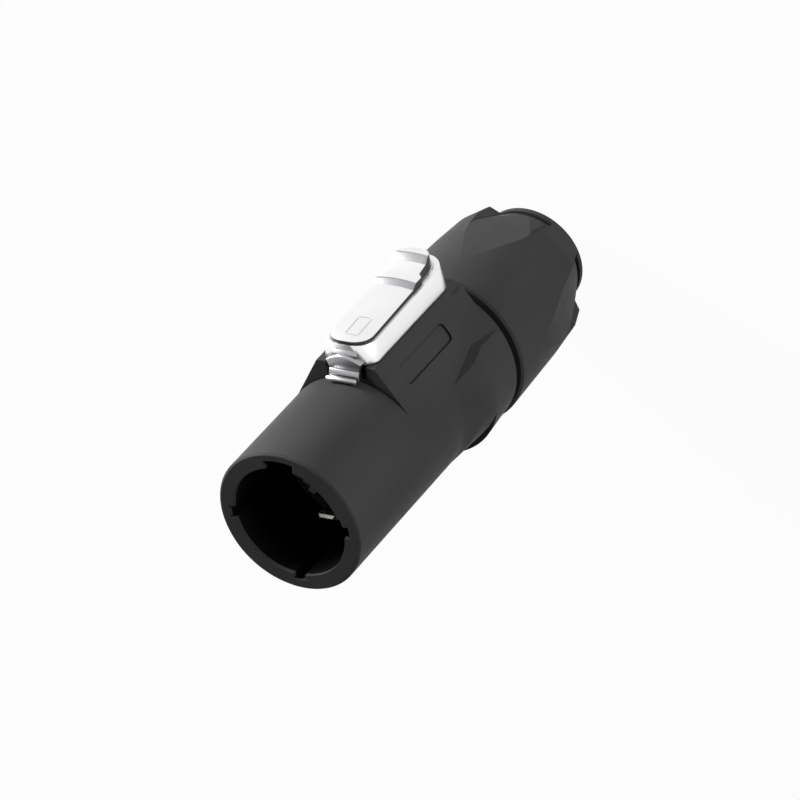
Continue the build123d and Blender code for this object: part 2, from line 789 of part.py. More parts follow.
# Tool for one flute: what lies between its walls and outside its floor, which is a flat facet that bends
# towards the axis, and at the tail a steeper heel, round about the nut's axis
with BuildPart() as flute:
    with BuildSketch(Plane.XZ):
        with BuildLine():
            Spline(
                (flute_start_radius, flute_start_z),
                (flute_facet_radius, flute_facet_z),
                (flute_end_radius, flute_end_z),
            )
            Polyline(
                (flute_end_radius, flute_end_z),
                (flute_start_radius + flute_wall_reach, flute_end_z),
                (flute_start_radius + flute_wall_reach, flute_start_z),
                (flute_start_radius, flute_start_z),
            )
        make_face()
    extrude(amount=nut_front_radius, both=True)
    with BuildSketch(Plane.XZ):
        with BuildLine():
            Polyline(
                (flute_end_radius, flute_end_z),
                (flute_end_radius + flute_wall_reach, flute_end_z),
                (flute_end_radius + flute_wall_reach, flute_end_z + flute_heel_length),
                close=True,
            )
        make_face()
    revolve(axis=Axis.Z)
    with BuildPart(mode=Mode.INTERSECT):
        loft(
            [
                flute_section(flute_start_z, flute_start_radius, flute_start_half_angle),
                flute_section(fin_end_z, fin_radius, flute_middle_half_angle),
                flute_section(fin_tip_z, fin_tip_radius, flute_end_half_angle),
                flute_section(flute_end_z, fin_tip_radius, flute_end_half_angle),
            ],
            ruled=True,
        )

# Gland nut
with BuildPart() as gland_nut:
    with BuildSketch(Plane.XZ):
        with BuildLine():
            Polyline(
                (entry_radius, 0),
                (tail_rim_radius - tail_rim_chamfer, 0),
                (tail_rim_radius, tail_rim_chamfer),
                (tail_rim_radius, tail_rim_length),
                (tail_rim_radius - tail_groove_depth, tail_rim_length),
                (tail_rim_radius - tail_groove_depth, tail_groove_z),
                (tail_radius, tail_groove_z),
                (fin_tip_radius, fin_tip_z),
                (fin_radius, fin_end_z),
                (nut_middle_radius, nut_middle_z),
                (nut_front_radius, nut_front_z - nut_chamfer),
                (nut_front_radius - nut_chamfer, nut_front_z),
                (nut_thread_radius, nut_front_z),
                (nut_thread_radius, nut_shoulder_z),
                (cone_front_radius, nut_shoulder_z),
                (cone_rear_radius, cone_rear_z),
                (entry_radius, cone_rear_z),
                close=True,
            )
        make_face()
    revolve(axis=Axis.Z)
    with PolarLocations(0, flute_count, start_angle=-90 - flute_phase):
        add(flute.part, mode=Mode.SUBTRACT)
gland_nut.part.label = "gland_nut"
export_step(gland_nut.part, "parts/gland_nut.step")

# Slotted chuck that closes on the cable as the nut draws over it
with BuildPart() as clamp_chuck:
    with BuildSketch(Plane.XZ):
        with BuildLine():
            Polyline(
                (chuck_bore, chuck_tip_z),
                (cone_radius(chuck_tip_z) - running_gap, chuck_tip_z),
                (cone_radius(nut_shoulder_z - running_gap) - running_gap, nut_shoulder_z - running_gap),
                (cone_radius(nut_shoulder_z - running_gap) - running_gap, spigot_end_z),
                (chuck_radius, spigot_end_z + running_gap),
                (chuck_radius, chuck_front_z),
                (chuck_bore, chuck_front_z),
                close=True,
            )
        make_face()
    revolve(axis=Axis.Z)
    with BuildSketch(Plane.XY.offset(chuck_key_z)):
        with Locations((0, chuck_radius)):
            Rectangle(chuck_key_width, 2 * (chuck_key_radius - chuck_radius))
    extrude(amount=chuck_key_length)
    with BuildSketch(Plane.XY.offset(chuck_tip_z)):
        with PolarLocations(0, chuck_slots // 2):
            Rectangle(3 * chuck_radius, chuck_slot_width)
    extrude(amount=chuck_slot_length, mode=Mode.SUBTRACT)
clamp_chuck.part.label = "clamp_chuck"
export_step(clamp_chuck.part, "parts/clamp_chuck.step")

# Rubber sleeve inside the chuck
with BuildPart() as cable_seal:
    with BuildSketch(Plane.XY.offset(seal_tip_z)):
        Circle(chuck_bore - seat_gap)
        Circle(seal_bore, mode=Mode.SUBTRACT)
    extrude(amount=seal_length)
cable_seal.part.label = "cable_seal"
export_step(cable_seal.part, "parts/cable_seal.step")
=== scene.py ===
from math import asin, cos, radians, sin

import bmesh
import bpy
from mathutils import Matrix, Vector


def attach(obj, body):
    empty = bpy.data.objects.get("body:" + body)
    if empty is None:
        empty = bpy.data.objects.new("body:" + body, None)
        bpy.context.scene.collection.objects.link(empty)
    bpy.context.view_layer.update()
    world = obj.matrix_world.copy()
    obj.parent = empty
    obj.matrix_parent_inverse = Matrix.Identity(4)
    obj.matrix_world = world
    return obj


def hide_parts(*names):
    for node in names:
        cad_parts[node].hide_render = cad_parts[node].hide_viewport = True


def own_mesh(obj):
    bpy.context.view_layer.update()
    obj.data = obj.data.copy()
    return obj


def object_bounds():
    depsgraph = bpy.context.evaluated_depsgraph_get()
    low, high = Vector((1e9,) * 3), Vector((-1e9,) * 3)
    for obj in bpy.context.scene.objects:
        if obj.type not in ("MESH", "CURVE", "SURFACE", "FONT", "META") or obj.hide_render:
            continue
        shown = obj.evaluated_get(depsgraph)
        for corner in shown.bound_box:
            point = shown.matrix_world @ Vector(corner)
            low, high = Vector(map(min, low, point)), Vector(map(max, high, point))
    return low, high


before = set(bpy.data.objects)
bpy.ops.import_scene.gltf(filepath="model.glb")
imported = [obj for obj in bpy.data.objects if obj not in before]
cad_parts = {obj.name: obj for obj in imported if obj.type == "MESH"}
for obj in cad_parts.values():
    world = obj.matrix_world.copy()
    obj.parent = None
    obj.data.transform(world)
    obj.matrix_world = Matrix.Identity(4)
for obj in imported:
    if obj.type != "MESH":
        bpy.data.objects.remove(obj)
cad_low, cad_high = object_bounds()

# The connector stands on its cable end: z runs from the tail to the nose, the latch faces -y.
MM = 0.001
WHITE = (1, 1, 1, 1)


def outward(angle):
    """Direction square to the axis, at an angle from the latch side towards -x."""
    return Vector((-sin(radians(angle)), -cos(radians(angle)), 0))


# Camera: a long lens, above the latch and in front of the nose

CAMERA_RISE = 37.365
CAMERA_SWING = 29.088
LATCH_TURN = 10.0
CAMERA_DISTANCE = 700 * MM
CAMERA_LENS = 222.2
SENSOR_WIDTH = 36
CLIP_START = 0.01
CLIP_END = 20
AIM_HEIGHT = 40.0 * MM
AIM_SHIFT = (-0.322 * MM, -0.159 * MM)


def place_camera():
    rise, swing = radians(CAMERA_RISE), radians(CAMERA_SWING)
    latch_side = outward(LATCH_TURN)
    along = Vector((0, 0, -1))
    across = latch_side.cross(along)
    forward = cos(rise) * cos(swing) * along + cos(rise) * sin(swing) * across - sin(rise) * latch_side
    right = forward.cross(latch_side).normalized()
    up = right.cross(forward)
    aim = Vector((0, 0, AIM_HEIGHT)) + AIM_SHIFT[0] * right + AIM_SHIFT[1] * up
    data = bpy.data.cameras.new("camera")
    data.lens = CAMERA_LENS
    data.sensor_width = SENSOR_WIDTH
    data.dof.use_dof = False
    data.clip_start = CLIP_START
    data.clip_end = CLIP_END
    camera = bpy.data.objects.new("camera", data)
    turn = Matrix((right, up, -forward)).transposed()
    camera.matrix_world = Matrix.Translation(aim - CAMERA_DISTANCE * forward) @ turn.to_4x4()
    bpy.context.scene.collection.objects.link(camera)
    bpy.context.scene.camera = camera


# Studio

AMBIENT_LEVEL = 0.04
BACKDROP_LEVEL = 1.0
FLOOR_RADIUS = 2.0
FLOOR_SEGMENTS = 96
FLOOR_PAINT = (0.8, 0.8, 0.8, 1)
FLOOR_GLOW_SHARE = 0.96


def soft_box(name, angle, height, distance, size, power):
    """Area lamp that faces the part, at an angle round the axis and a height in degrees."""
    level = radians(height)
    away = cos(level) * outward(angle) + Vector((0, 0, sin(level)))
    data = bpy.data.lights.new(name, "AREA")
    data.shape = "RECTANGLE"
    data.size, data.size_y = size
    data.energy = power
    lamp = bpy.data.objects.new(name, data)
    lamp.location = Vector((0, 0, AIM_HEIGHT)) + distance * away
    lamp.rotation_mode = "QUATERNION"
    lamp.rotation_quaternion = (-away).to_track_quat("-Z", "Y")
    bpy.context.scene.collection.objects.link(lamp)


def seen_directly(nodes, links):
    """One where a camera, mirror or glass ray looks, nought for the rays that light the part."""
    path = nodes.new("ShaderNodeLightPath")
    first = nodes.new("ShaderNodeMath")
    first.operation = "MAXIMUM"
    second = nodes.new("ShaderNodeMath")
    second.operation = "MAXIMUM"
    links.new(path.outputs["Is Camera Ray"], first.inputs[0])
    links.new(path.outputs["Is Glossy Ray"], first.inputs[1])
    links.new(first.outputs[0], second.inputs[0])
    links.new(path.outputs["Is Transmission Ray"], second.inputs[1])
    return second.outputs[0]


def mix_shaders(nodes, links, share, first, second, output):
    mix = nodes.new("ShaderNodeMixShader")
    links.new(share, mix.inputs["Fac"])
    links.new(first.outputs[0], mix.inputs[1])
    links.new(second.outputs[0], mix.inputs[2])
    links.new(mix.outputs[0], output.inputs["Surface"])


def white_room():
    """World that looks white and lights the part only a little."""
    world = bpy.data.worlds.new("white_room")
    world.use_nodes = True
    bpy.context.scene.world = world
    nodes, links = world.node_tree.nodes, world.node_tree.links
    ambient = nodes["Background"]
    ambient.inputs["Color"].default_value = WHITE
    ambient.inputs["Strength"].default_value = AMBIENT_LEVEL
    backdrop = nodes.new("ShaderNodeBackground")
    backdrop.inputs["Color"].default_value = WHITE
    backdrop.inputs["Strength"].default_value = BACKDROP_LEVEL
    seen = seen_directly(nodes, links)
    mix_shaders(nodes, links, seen, ambient, backdrop, nodes["World Output"])


def pale_floor():
    """Floor that looks nearly white, with a small share of lit paint that keeps the part's shadow."""
    shape = bmesh.new()
    bmesh.ops.create_circle(shape, cap_ends=True, segments=FLOOR_SEGMENTS, radius=FLOOR_RADIUS)
    mesh = bpy.data.meshes.new("floor")
    shape.to_mesh(mesh)
    shape.free()
    floor = bpy.data.objects.new("floor", mesh)
    bpy.context.scene.collection.objects.link(floor)
    material = bpy.data.materials.new("pale_floor")
    material.use_nodes = True
    nodes, links = material.node_tree.nodes, material.node_tree.links
    nodes.remove(nodes["Principled BSDF"])
    paint = nodes.new("ShaderNodeBsdfDiffuse")
    paint.inputs["Color"].default_value = FLOOR_PAINT
    glow = nodes.new("ShaderNodeEmission")
    share = nodes.new("ShaderNodeMath")
    share.operation = "MULTIPLY"
    share.inputs[1].default_value = FLOOR_GLOW_SHARE
    links.new(seen_directly(nodes, links), share.inputs[0])
    mix_shaders(nodes, links, share.outputs[0], paint, glow, nodes["Material Output"])
    mesh.materials.append(material)


# Materials: each reads Object coordinates, in metres

NOISE_MIDDLE = (0.3, 0.7)
EDGE_SAMPLES = 6

# How far roughness drops below and rises above its value
PLASTIC_SHINE = (0.04, 0.05)
CASTING_SHINE = (0.04, 0.04)
METAL_SHINE = (0.05, 0.08)

# Painted shade in creases and at the foot of walls, from an occlusion node
CREASE_REACH = 0.7 * MM
CREASE_SAMPLES = 8
CREASE_CLOSED = 0.35
PLASTIC_SHADE_END = 0.85
CASTING_SHADE_END = 0.9
CREASE_PAINTED_SHADE = (0.008, 0.008, 0.008)

# Painted shade inside the socket and the bore
SOCKET_REACH = 10.15 * MM
RIM_DEPTH = 0.55 * MM
SOCKET_PAINTED_SHADE = (0.004, 0.004, 0.004)
SOCKET_GLOSS = 0.03

PLASTIC_GLOSS = 0.02
PLASTIC_GRAIN = 0.09 * MM
PLASTIC_GRAIN_DEPTH = 0.006 * MM
PLASTIC_EDGE = 0.12 * MM
FLOW_CLOUD = 9 * MM
FLOW_STRETCH = (1, 1, 0.4)
SHINE_PATCH = 2.5 * MM
SHELL_TONES = ((0.045, 0.045, 0.046), (0.056, 0.056, 0.057))
INSERT_TONES = ((0.012, 0.012, 0.013), (0.017, 0.017, 0.018))
CHUCK_TONES = ((0.04, 0.04, 0.045), (0.05, 0.05, 0.055))
CHUCK_GRAIN_DEPTH = 0.005 * MM

CASTING_ROUGHNESS = 0.3
CASTING_WAVE = 5 * MM
CASTING_GRAIN = 0.12 * MM
CASTING_GRAIN_DEPTH = 0.002 * MM
# Each pair: the painted shade in creases, then the colour of open faces
POLISHED_TONES = ((0.035, 0.035, 0.04), (0.86, 0.86, 0.87))
# Grey copy of the polished metal: painted shade on the latch's steps, tongue and dome
SHADE_PAINTED_TONES = ((0.03, 0.03, 0.035), (0.36, 0.36, 0.37))
# Dark copy of the polished metal: painted shade in the pad's groove
GROOVE_SHADE_TONES = ((0.01, 0.01, 0.01), (0.05, 0.05, 0.052))

TOOL_LINE = 0.15 * MM
TOOL_LINE_DEPTH = 0.004 * MM
METAL_EDGE = 0.06 * MM
CONTACT_SILVER = (0.83, 0.81, 0.76)
SCREW_STEEL = (0.62, 0.62, 0.63)
PIN_STEEL = (0.56, 0.56, 0.57)
SPRING_STEEL = (0.6, 0.6, 0.6)

RUBBER_TONES = ((0.01, 0.01, 0.01), (0.02, 0.02, 0.02))
RUBBER_ROUGHNESS = 0.62
RUBBER_GLOSS = 0.35
RUBBER_DUST = 1.2 * MM
RUBBER_GRAIN = 0.1 * MM
RUBBER_GRAIN_DEPTH = 0.006 * MM


def surface(name, color, metallic, roughness):
    material = bpy.data.materials.new(name)
    material.use_nodes = True
    nodes, links = material.node_tree.nodes, material.node_tree.links
    shader = nodes["Principled BSDF"]
    shader.inputs["Base Color"].default_value = (*color, 1)
    shader.inputs["Metallic"].default_value = metallic
    shader.inputs["Roughness"].default_value = roughness
    place = nodes.new("ShaderNodeTexCoord").outputs["Object"]
    return material, nodes, links, shader, place


def noise(nodes, links, place, cell, detail=3.0, stretch=(1, 1, 1)):
    """Noise whose cells are about one length across, longer along an axis where stretch is under one."""
    mapping = nodes.new("ShaderNodeMapping")
    mapping.inputs["Scale"].default_value = stretch
    texture = nodes.new("ShaderNodeTexNoise")
    texture.inputs["Scale"].default_value = 1 / cell
    texture.inputs["Detail"].default_value = detail
    links.new(place, mapping.inputs["Vector"])
    links.new(mapping.outputs["Vector"], texture.inputs["Vector"])
    return texture.outputs["Fac"]


def rescale(nodes, links, value, start, end, low, high):
    """Maps the range from start to end onto the one from low to high, and holds it at the ends."""
    ramp = nodes.new("ShaderNodeMapRange")
    ramp.inputs["From Min"].default_value = start
    ramp.inputs["From Max"].default_value = end
    ramp.inputs["To Min"].default_value = low
    ramp.inputs["To Max"].default_value = high
    links.new(value, ramp.inputs["Value"])
    return ramp.outputs["Result"]


def spread(nodes, links, value, low=0, high=1):
    """Stretches the middle of a noise to a range."""
    return rescale(nodes, links, value, *NOISE_MIDDLE, low, high)


def unshaded_share(nodes, links, fully_open):
    """Share of the colour without painted shade: nought deep in a crease, one on an open face."""
    painted_hollow_shade = nodes.new("ShaderNodeAmbientOcclusion")
    painted_hollow_shade.samples = CREASE_SAMPLES
    painted_hollow_shade.only_local = True
    painted_hollow_shade.inputs["Distance"].default_value = CREASE_REACH
    return rescale(nodes, links, painted_hollow_shade.outputs["AO"], CREASE_CLOSED, fully_open, 0, 1)


def blend_color(nodes, links, shader, share, start, end):
    """Base colour from start to end. Each is a colour, or a socket that gives one."""
    mix = nodes.new("ShaderNodeMix")
    mix.data_type = "RGBA"
    links.new(share, mix.inputs["Factor"])
    for socket, color in ((mix.inputs["A"], start), (mix.inputs["B"], end)):
        if isinstance(color, tuple):
            socket.default_value = (*color, 1)
        else:
            links.new(color, socket)
    links.new(mix.outputs["Result"], shader.inputs["Base Color"])
    return mix.outputs["Result"]


def vary_roughness(nodes, links, shader, value, roughness, change):
    drop, rise = change
    shine = spread(nodes, links, value, roughness - drop, roughness + rise)
    links.new(shine, shader.inputs["Roughness"])


def relief(nodes, links, shader, value, depth, under=None):
    """Bump on the shader's normal, over another normal where one is given."""
    bump = nodes.new("ShaderNodeBump")
    bump.inputs["Distance"].default_value = depth
    bump.inputs["Strength"].default_value = 1.0
    links.new(value, bump.inputs["Height"])
    if under is not None:
        links.new(under, bump.inputs["Normal"])
    links.new(bump.outputs["Normal"], shader.inputs["Normal"])


def rounded_edges(nodes, radius):
    bevel = nodes.new("ShaderNodeBevel")
    bevel.samples = EDGE_SAMPLES
    bevel.inputs["Radius"].default_value = radius
    return bevel.outputs["Normal"]


def socket_shade_mask(nodes, links, place):
    """Where painted shade goes: one inside the socket and the bore, nought on the outside and on the nose
    rim.
    """
    parts = nodes.new("ShaderNodeSeparateXYZ")
    links.new(place, parts.inputs["Vector"])
    flat = nodes.new("ShaderNodeCombineXYZ")
    links.new(parts.outputs["X"], flat.inputs["X"])
    links.new(parts.outputs["Y"], flat.inputs["Y"])
    radius = nodes.new("ShaderNodeVectorMath")
    radius.operation = "LENGTH"
    links.new(flat.outputs["Vector"], radius.inputs[0])
    near = nodes.new("ShaderNodeMath")
    near.operation = "LESS_THAN"
    near.inputs[1].default_value = SOCKET_REACH
    links.new(radius.outputs["Value"], near.inputs[0])
    below = nodes.new("ShaderNodeMath")
    below.operation = "LESS_THAN"
    below.inputs[1].default_value = cad_high[2] - RIM_DEPTH
    links.new(parts.outputs["Z"], below.inputs[0])
    both = nodes.new("ShaderNodeMath")
    both.operation = "MULTIPLY"
    links.new(near.outputs[0], both.inputs[0])
    links.new(below.outputs[0], both.inputs[1])
    return both.outputs[0]


def paint_socket_shade(nodes, links, shader, place, color):
    """Painted shade: near-black, matt walls inside the socket and the bore."""
    socket_shade = socket_shade_mask(nodes, links, place)
    blend_color(nodes, links, shader, socket_shade, color, SOCKET_PAINTED_SHADE)
    gloss = rescale(nodes, links, socket_shade, 0, 1, PLASTIC_GLOSS, SOCKET_GLOSS)
    links.new(gloss, shader.inputs["Specular IOR Level"])


def moulded_plastic(name, tones, roughness, depth=PLASTIC_GRAIN_DEPTH, painted_hollow_shade=False):
    """Black polyamide with a fine spark-eroded grain, faint flow clouds, painted shade in creases,
    near-black painted shade in the socket where asked, and soft edges.
    """
    material, nodes, links, shader, place = surface(name, tones[0], 0, roughness)
    shader.inputs["Specular IOR Level"].default_value = PLASTIC_GLOSS
    clouds = noise(nodes, links, place, FLOW_CLOUD, 2, FLOW_STRETCH)
    color = blend_color(nodes, links, shader, spread(nodes, links, clouds), *tones)
    # Painted shade: the base colour darkens in creases and at the foot of walls
    color = blend_color(nodes, links, shader, unshaded_share(nodes, links, PLASTIC_SHADE_END), CREASE_PAINTED_SHADE, color)
    # Painted shade: near-black base colour inside the socket and the bore, where asked
    if painted_hollow_shade:
        paint_socket_shade(nodes, links, shader, place, color)
    patches = noise(nodes, links, place, SHINE_PATCH)
    vary_roughness(nodes, links, shader, patches, roughness, PLASTIC_SHINE)
    pits = noise(nodes, links, place, PLASTIC_GRAIN, 2)
    relief(nodes, links, shader, pits, depth, rounded_edges(nodes, PLASTIC_EDGE))
    return material


def cast_zinc(name, tones):
    """Plated zinc casting: a little wavy, with a fine satin grain and painted shade in its recesses."""
    painted_shade_tone, open_tone = tones
    material, nodes, links, shader, place = surface(name, open_tone, 1, CASTING_ROUGHNESS)
    waves = noise(nodes, links, place, CASTING_WAVE, 2)
    vary_roughness(nodes, links, shader, waves, CASTING_ROUGHNESS, CASTING_SHINE)
    grain = noise(nodes, links, place, CASTING_GRAIN, 2)
    relief(nodes, links, shader, grain, CASTING_GRAIN_DEPTH)
    # Painted shade: the base colour darkens in recesses
    blend_color(nodes, links, shader, unshaded_share(nodes, links, CASTING_SHADE_END), painted_shade_tone, open_tone)
    return material


def plated_metal(name, color, roughness, stretch):
    """Stamped or turned metal with fine tool lines."""
    material, nodes, links, shader, place = surface(name, color, 1, roughness)
    lines = noise(nodes, links, place, TOOL_LINE, 3, stretch)
    vary_roughness(nodes, links, shader, lines, roughness, METAL_SHINE)
    relief(nodes, links, shader, lines, TOOL_LINE_DEPTH, rounded_edges(nodes, METAL_EDGE))
    return material


def soft_rubber(name):
    material, nodes, links, shader, place = surface(name, RUBBER_TONES[0], 0, RUBBER_ROUGHNESS)
    shader.inputs["Specular IOR Level"].default_value = RUBBER_GLOSS
    dust = noise(nodes, links, place, RUBBER_DUST)
    blend_color(nodes, links, shader, spread(nodes, links, dust), *RUBBER_TONES)
    grain = noise(nodes, links, place, RUBBER_GRAIN, 2)
    relief(nodes, links, shader, grain, RUBBER_GRAIN_DEPTH)
    return material


def finish_cad_nodes():
    shell = moulded_plastic("shell_plastic", SHELL_TONES, roughness=0.5)
    barrel = moulded_plastic("barrel_plastic", SHELL_TONES, roughness=0.5, painted_hollow_shade=True)
    insert = moulded_plastic("insert_plastic", INSERT_TONES, roughness=0.5)
    chuck = moulded_plastic("chuck_plastic", CHUCK_TONES, roughness=0.4, depth=CHUCK_GRAIN_DEPTH)
    contact = plated_metal("contact_metal", CONTACT_SILVER, roughness=0.28, stretch=(1, 1, 0.1))
    screw = plated_metal("screw_steel", SCREW_STEEL, roughness=0.32, stretch=(1, 1, 1))
    pin = plated_metal("pin_steel", PIN_STEEL, roughness=0.25, stretch=(1, 1, 1))
    wire = plated_metal("spring_steel", SPRING_STEEL, roughness=0.3, stretch=(1, 1, 0.3))
    rubber = soft_rubber("seal_rubber")
    finishes = {
        "housing": barrel,
        "gland_nut": shell,
        "contact_insert": insert,
        "insert_cover": insert,
        "clamp_chuck": chuck,
        "latch_stop_pin": pin,
        "latch_spring": wire,
        "socket_gasket": rubber,
        "gland_gasket": rubber,
        "cable_seal": rubber,
    }
    for pole in ("line", "neutral", "earth"):
        finishes["contact_" + pole] = contact
        finishes["terminal_screw_" + pole] = screw
        finishes["clamp_plate_" + pole] = screw
    for name, material in finishes.items():
        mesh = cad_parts[name].data
        mesh.materials.clear()
        mesh.materials.append(material)


# Latch: a drafted plate with a crowned thumb pad, all in millimetres until it is placed.
# x runs across, y along the axis counted from the platform's front, z is the height above the axis.

ACROSS = Vector((1, 0, 0))
ALONG = Vector((0, 1, 0))
UPWARD = Vector((0, 0, 1))

# Tones of the casting, in the order of its material slots: polished, then grey and dark copies that paint
# shade
POLISHED, SHADE_PAINTED, GROOVE_SHADE = range(3)

# Levels of the plate's rings before they get their heights
PLATE_FOOT, PLATE_EDGE, GROOVE_FLOOR, PAD_FACE = range(4)

PLATFORM_HEIGHT = 13.5
PLATE_FRONT = -0.45
PLATE_REAR = -23.45
PLATE_TOP_REAR = -23.8
PLATE_HALF_WIDTH = 4.4
PLATE_TOP_HALF_WIDTH = 3.78
PLATE_FRONT_CORNER = 2.1
PLATE_REAR_CORNER = 2.6
PLATE_TOP_CORNER = 3.0
# Distance of the plate's top from the axis, at its rear and at its front
PLATE_SLOPE = ((PLATE_TOP_REAR, 17.3), (PLATE_FRONT, 16.5))
PAD_MARGIN = 0.22
PAD_GROOVE = 0.26
PAD_GROOVE_DEPTH = 0.55
PAD_CORNER = 2.75
PAD_FRONT_SHARE = 0.5
WAIST = -17.3
WAIST_LENGTH = 0.5
LOBE_SHARE = 0.83
# Distance from the axis along the pad, from its rear: crest, rear step, slope, flat, front step, long lobe
PAD_PROFILE = (
    (-22.85, 18.7),
    (-20.85, 19.3),
    (-20.55, 19.2),
    (-19.75, 18.5),
    (-17.2, 18.05),
    (-15.8, 18.05),
    (-15.5, 17.95),
    (-14.75, 17.45),
    (-0.65, 16.9),
)
PAD_REAR = PAD_PROFILE[0][0]
STEP_FRONT = -14.6
STEP_LEAN = 0.3
STEP_RISE = 0.1
LOBE_CUTS = (-4, -8, -11.5)
CROWN_CUTS = (-2.6, -1.7, -0.8, 0, 0.8, 1.7, 2.6)
CUT_MERGE = 0.001
CORNER_STEPS = 9
EDGE_ROUND = 0.11
EDGE_SEGMENTS = 2
SHARP_ANGLE = 28
SMOOTH_ANGLE = 40
TOUCH = 0.01

TONGUE_HALF_WIDTH = 2.4
TONGUE_PROFILE = (
    (-0.25, 11.45),
    (1.7, 11.45),
    (1.85, 11.65),
    (1.8, 12.0),
    (1.5, 12.2),
    (1.05, 12.1),
    (0.85, 11.8),
    (0.75, 12.3),
    (0.5, 12.75),
    (0.1, 12.9),
    (-0.25, 12.9),
)
TONGUE_REACH = max(place for place, height in TONGUE_PROFILE)
TONGUE_ROUND = 0.08
DOME_HALF_WIDTH = 2.93
DOME_SHOULDER = 14.0
DOME_TOP = 15.05
DOME_FOOT = 12.6
DOME_BACK = -0.75
DOME_FRONT = 0.42
DOME_ROUND = 0.34
DOME_SEGMENTS = 4
ROOT_HALF_WIDTH = 2.0
ROOT_PROFILE = (
    (DOME_BACK, DOME_FOOT),
    (-0.5, DOME_FOOT),
    (-0.1, 15.0),
    (DOME_BACK, 15.9),
)

FOOT_HEIGHT = 11.4
FOOT_THICKNESS = 0.95
FOOT_HALF_WIDTH = 2.7
FOOT_FRONT = -4.05
FOOT_LENGTH = 6.8
FOOT_BAR = 1.2
SLOT_HALF_WIDTH = 0.7
SLOT_LENGTH = 4.4
NECK_HALF_WIDTH = 1.5
NECK_SEAT = 0.3

MARK_HALF_WIDTH = 1.08
MARK_SHIFT = -0.22
MARK_FRONT = -2.4
MARK_REAR = -6.7
MARK_CORNER = 0.3
MARK_WIDTH = 0.1
MARK_RISE = 0.045
MARK_SEAT = 0.05

# The return spring, in metres
SPRING_MERGE = 0.001 * MM


def node_range(name):
    """Lowest and highest place of a CAD node along the axis."""
    places = [vertex.co.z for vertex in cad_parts[name].data.vertices]
    return min(places), max(places)


def between(table, place):
    """Value of a broken line at a place, held at its ends."""
    for (start, low), (end, high) in zip(table, table[1:]):
        if place <= end:
            share = max(0, (place - start) / (end - start))
            return low + share * (high - low)
    return table[-1][1]


def crown_height(radius, x):
    """Height above the axis at x, on a circle round the axis."""
    return (radius**2 - x**2) ** 0.5


def rounded_loop(shape, half_width, front, rear, front_corner, rear_corner, level):
    """Ring on a rounded rectangle: a circle whose four quarters are moved out to the corners."""
    ring = bmesh.ops.create_circle(shape, segments=4 * CORNER_STEPS, radius=1)["verts"]
    corners = (
        (half_width - front_corner, front - front_corner, front_corner),
        (front_corner - half_width, front - front_corner, front_corner),
        (rear_corner - half_width, rear + rear_corner, rear_corner),
        (half_width - rear_corner, rear + rear_corner, rear_corner),
    )
    for index, vertex in enumerate(ring):
        quarter, step = divmod(index, CORNER_STEPS)
        x, y, radius = corners[quarter]
        angle = radians(90 * (quarter + step / (CORNER_STEPS - 1)))
        vertex.co = (x + radius * cos(angle), y + radius * sin(angle), level)
    inside = set(ring)
    return [edge for edge in shape.edges if inside.issuperset(edge.verts)]


def cut_across(shape, is_cut, places, normal):
    """Cuts the faces that is_cut picks by planes square to normal, so that they can follow a curve."""
    for place in places:
        chosen = [face for face in shape.faces if is_cut(face)]
        edges = {edge for face in chosen for edge in face.edges}
        points = {vertex for face in chosen for vertex in face.verts}
        bmesh.ops.bisect_plane(
            shape, geom=[*points, *edges, *chosen], dist=CUT_MERGE, plane_co=place * normal, plane_no=normal
        )


def extrude_faces(shape, faces, move):
    thick = bmesh.ops.extrude_face_region(shape, geom=faces)["geom"]
    moved = [item for item in thick if isinstance(item, bmesh.types.BMVert)]
    bmesh.ops.translate(shape, verts=moved, vec=move)


def round_edges(shape, edges, radius, segments):
    bmesh.ops.bevel(
        shape, geom=edges, offset=radius, offset_type="OFFSET", segments=segments, profile=0.5,
        affect="EDGES", material=-1, clamp_overlap=True,
    )


def round_sharp_edges(shape, radius):
    closed = [edge for edge in shape.edges if len(edge.link_faces) == 2]
    sharp = [edge for edge in closed if edge.calc_face_angle(0) > radians(SHARP_ANGLE)]
    round_edges(shape, sharp, radius, EDGE_SEGMENTS)


def on_pad(face):
    """True while the vertices still hold their levels and all of a face's are on the pad."""
    return min(vertex.co.z for vertex in face.verts) > (GROOVE_FLOOR + PAD_FACE) / 2


def on_step(face):
    """True on the pad's two steps, which lean to the front."""
    leans = face.normal.y > STEP_LEAN and face.normal.z > STEP_RISE
    return leans and face.calc_center_median().y < STEP_FRONT


def plate_rings(shape, rim, pad):
    """Rings from the plate's foot over its edge, down into the groove and up to the pad."""
    foot_corners = (PLATE_FRONT_CORNER, PLATE_REAR_CORNER)
    edge_corners = (PLATE_TOP_CORNER, PLATE_TOP_CORNER)
    rings = [
        rounded_loop(shape, PLATE_HALF_WIDTH, PLATE_FRONT, PLATE_REAR, *foot_corners, PLATE_FOOT),
        rounded_loop(shape, PLATE_TOP_HALF_WIDTH, PLATE_FRONT, PLATE_TOP_REAR, *edge_corners, PLATE_EDGE),
    ]
    for half_width, level in ((rim, PLATE_EDGE), (rim, GROOVE_FLOOR), (pad, GROOVE_FLOOR), (pad, PAD_FACE)):
        front = PLATE_FRONT - (PLATE_TOP_HALF_WIDTH - half_width) * PAD_FRONT_SHARE
        rear = PAD_REAR - (half_width - pad)
        rings.append(rounded_loop(shape, half_width, front, rear, PAD_CORNER, PAD_CORNER, level))
    return rings


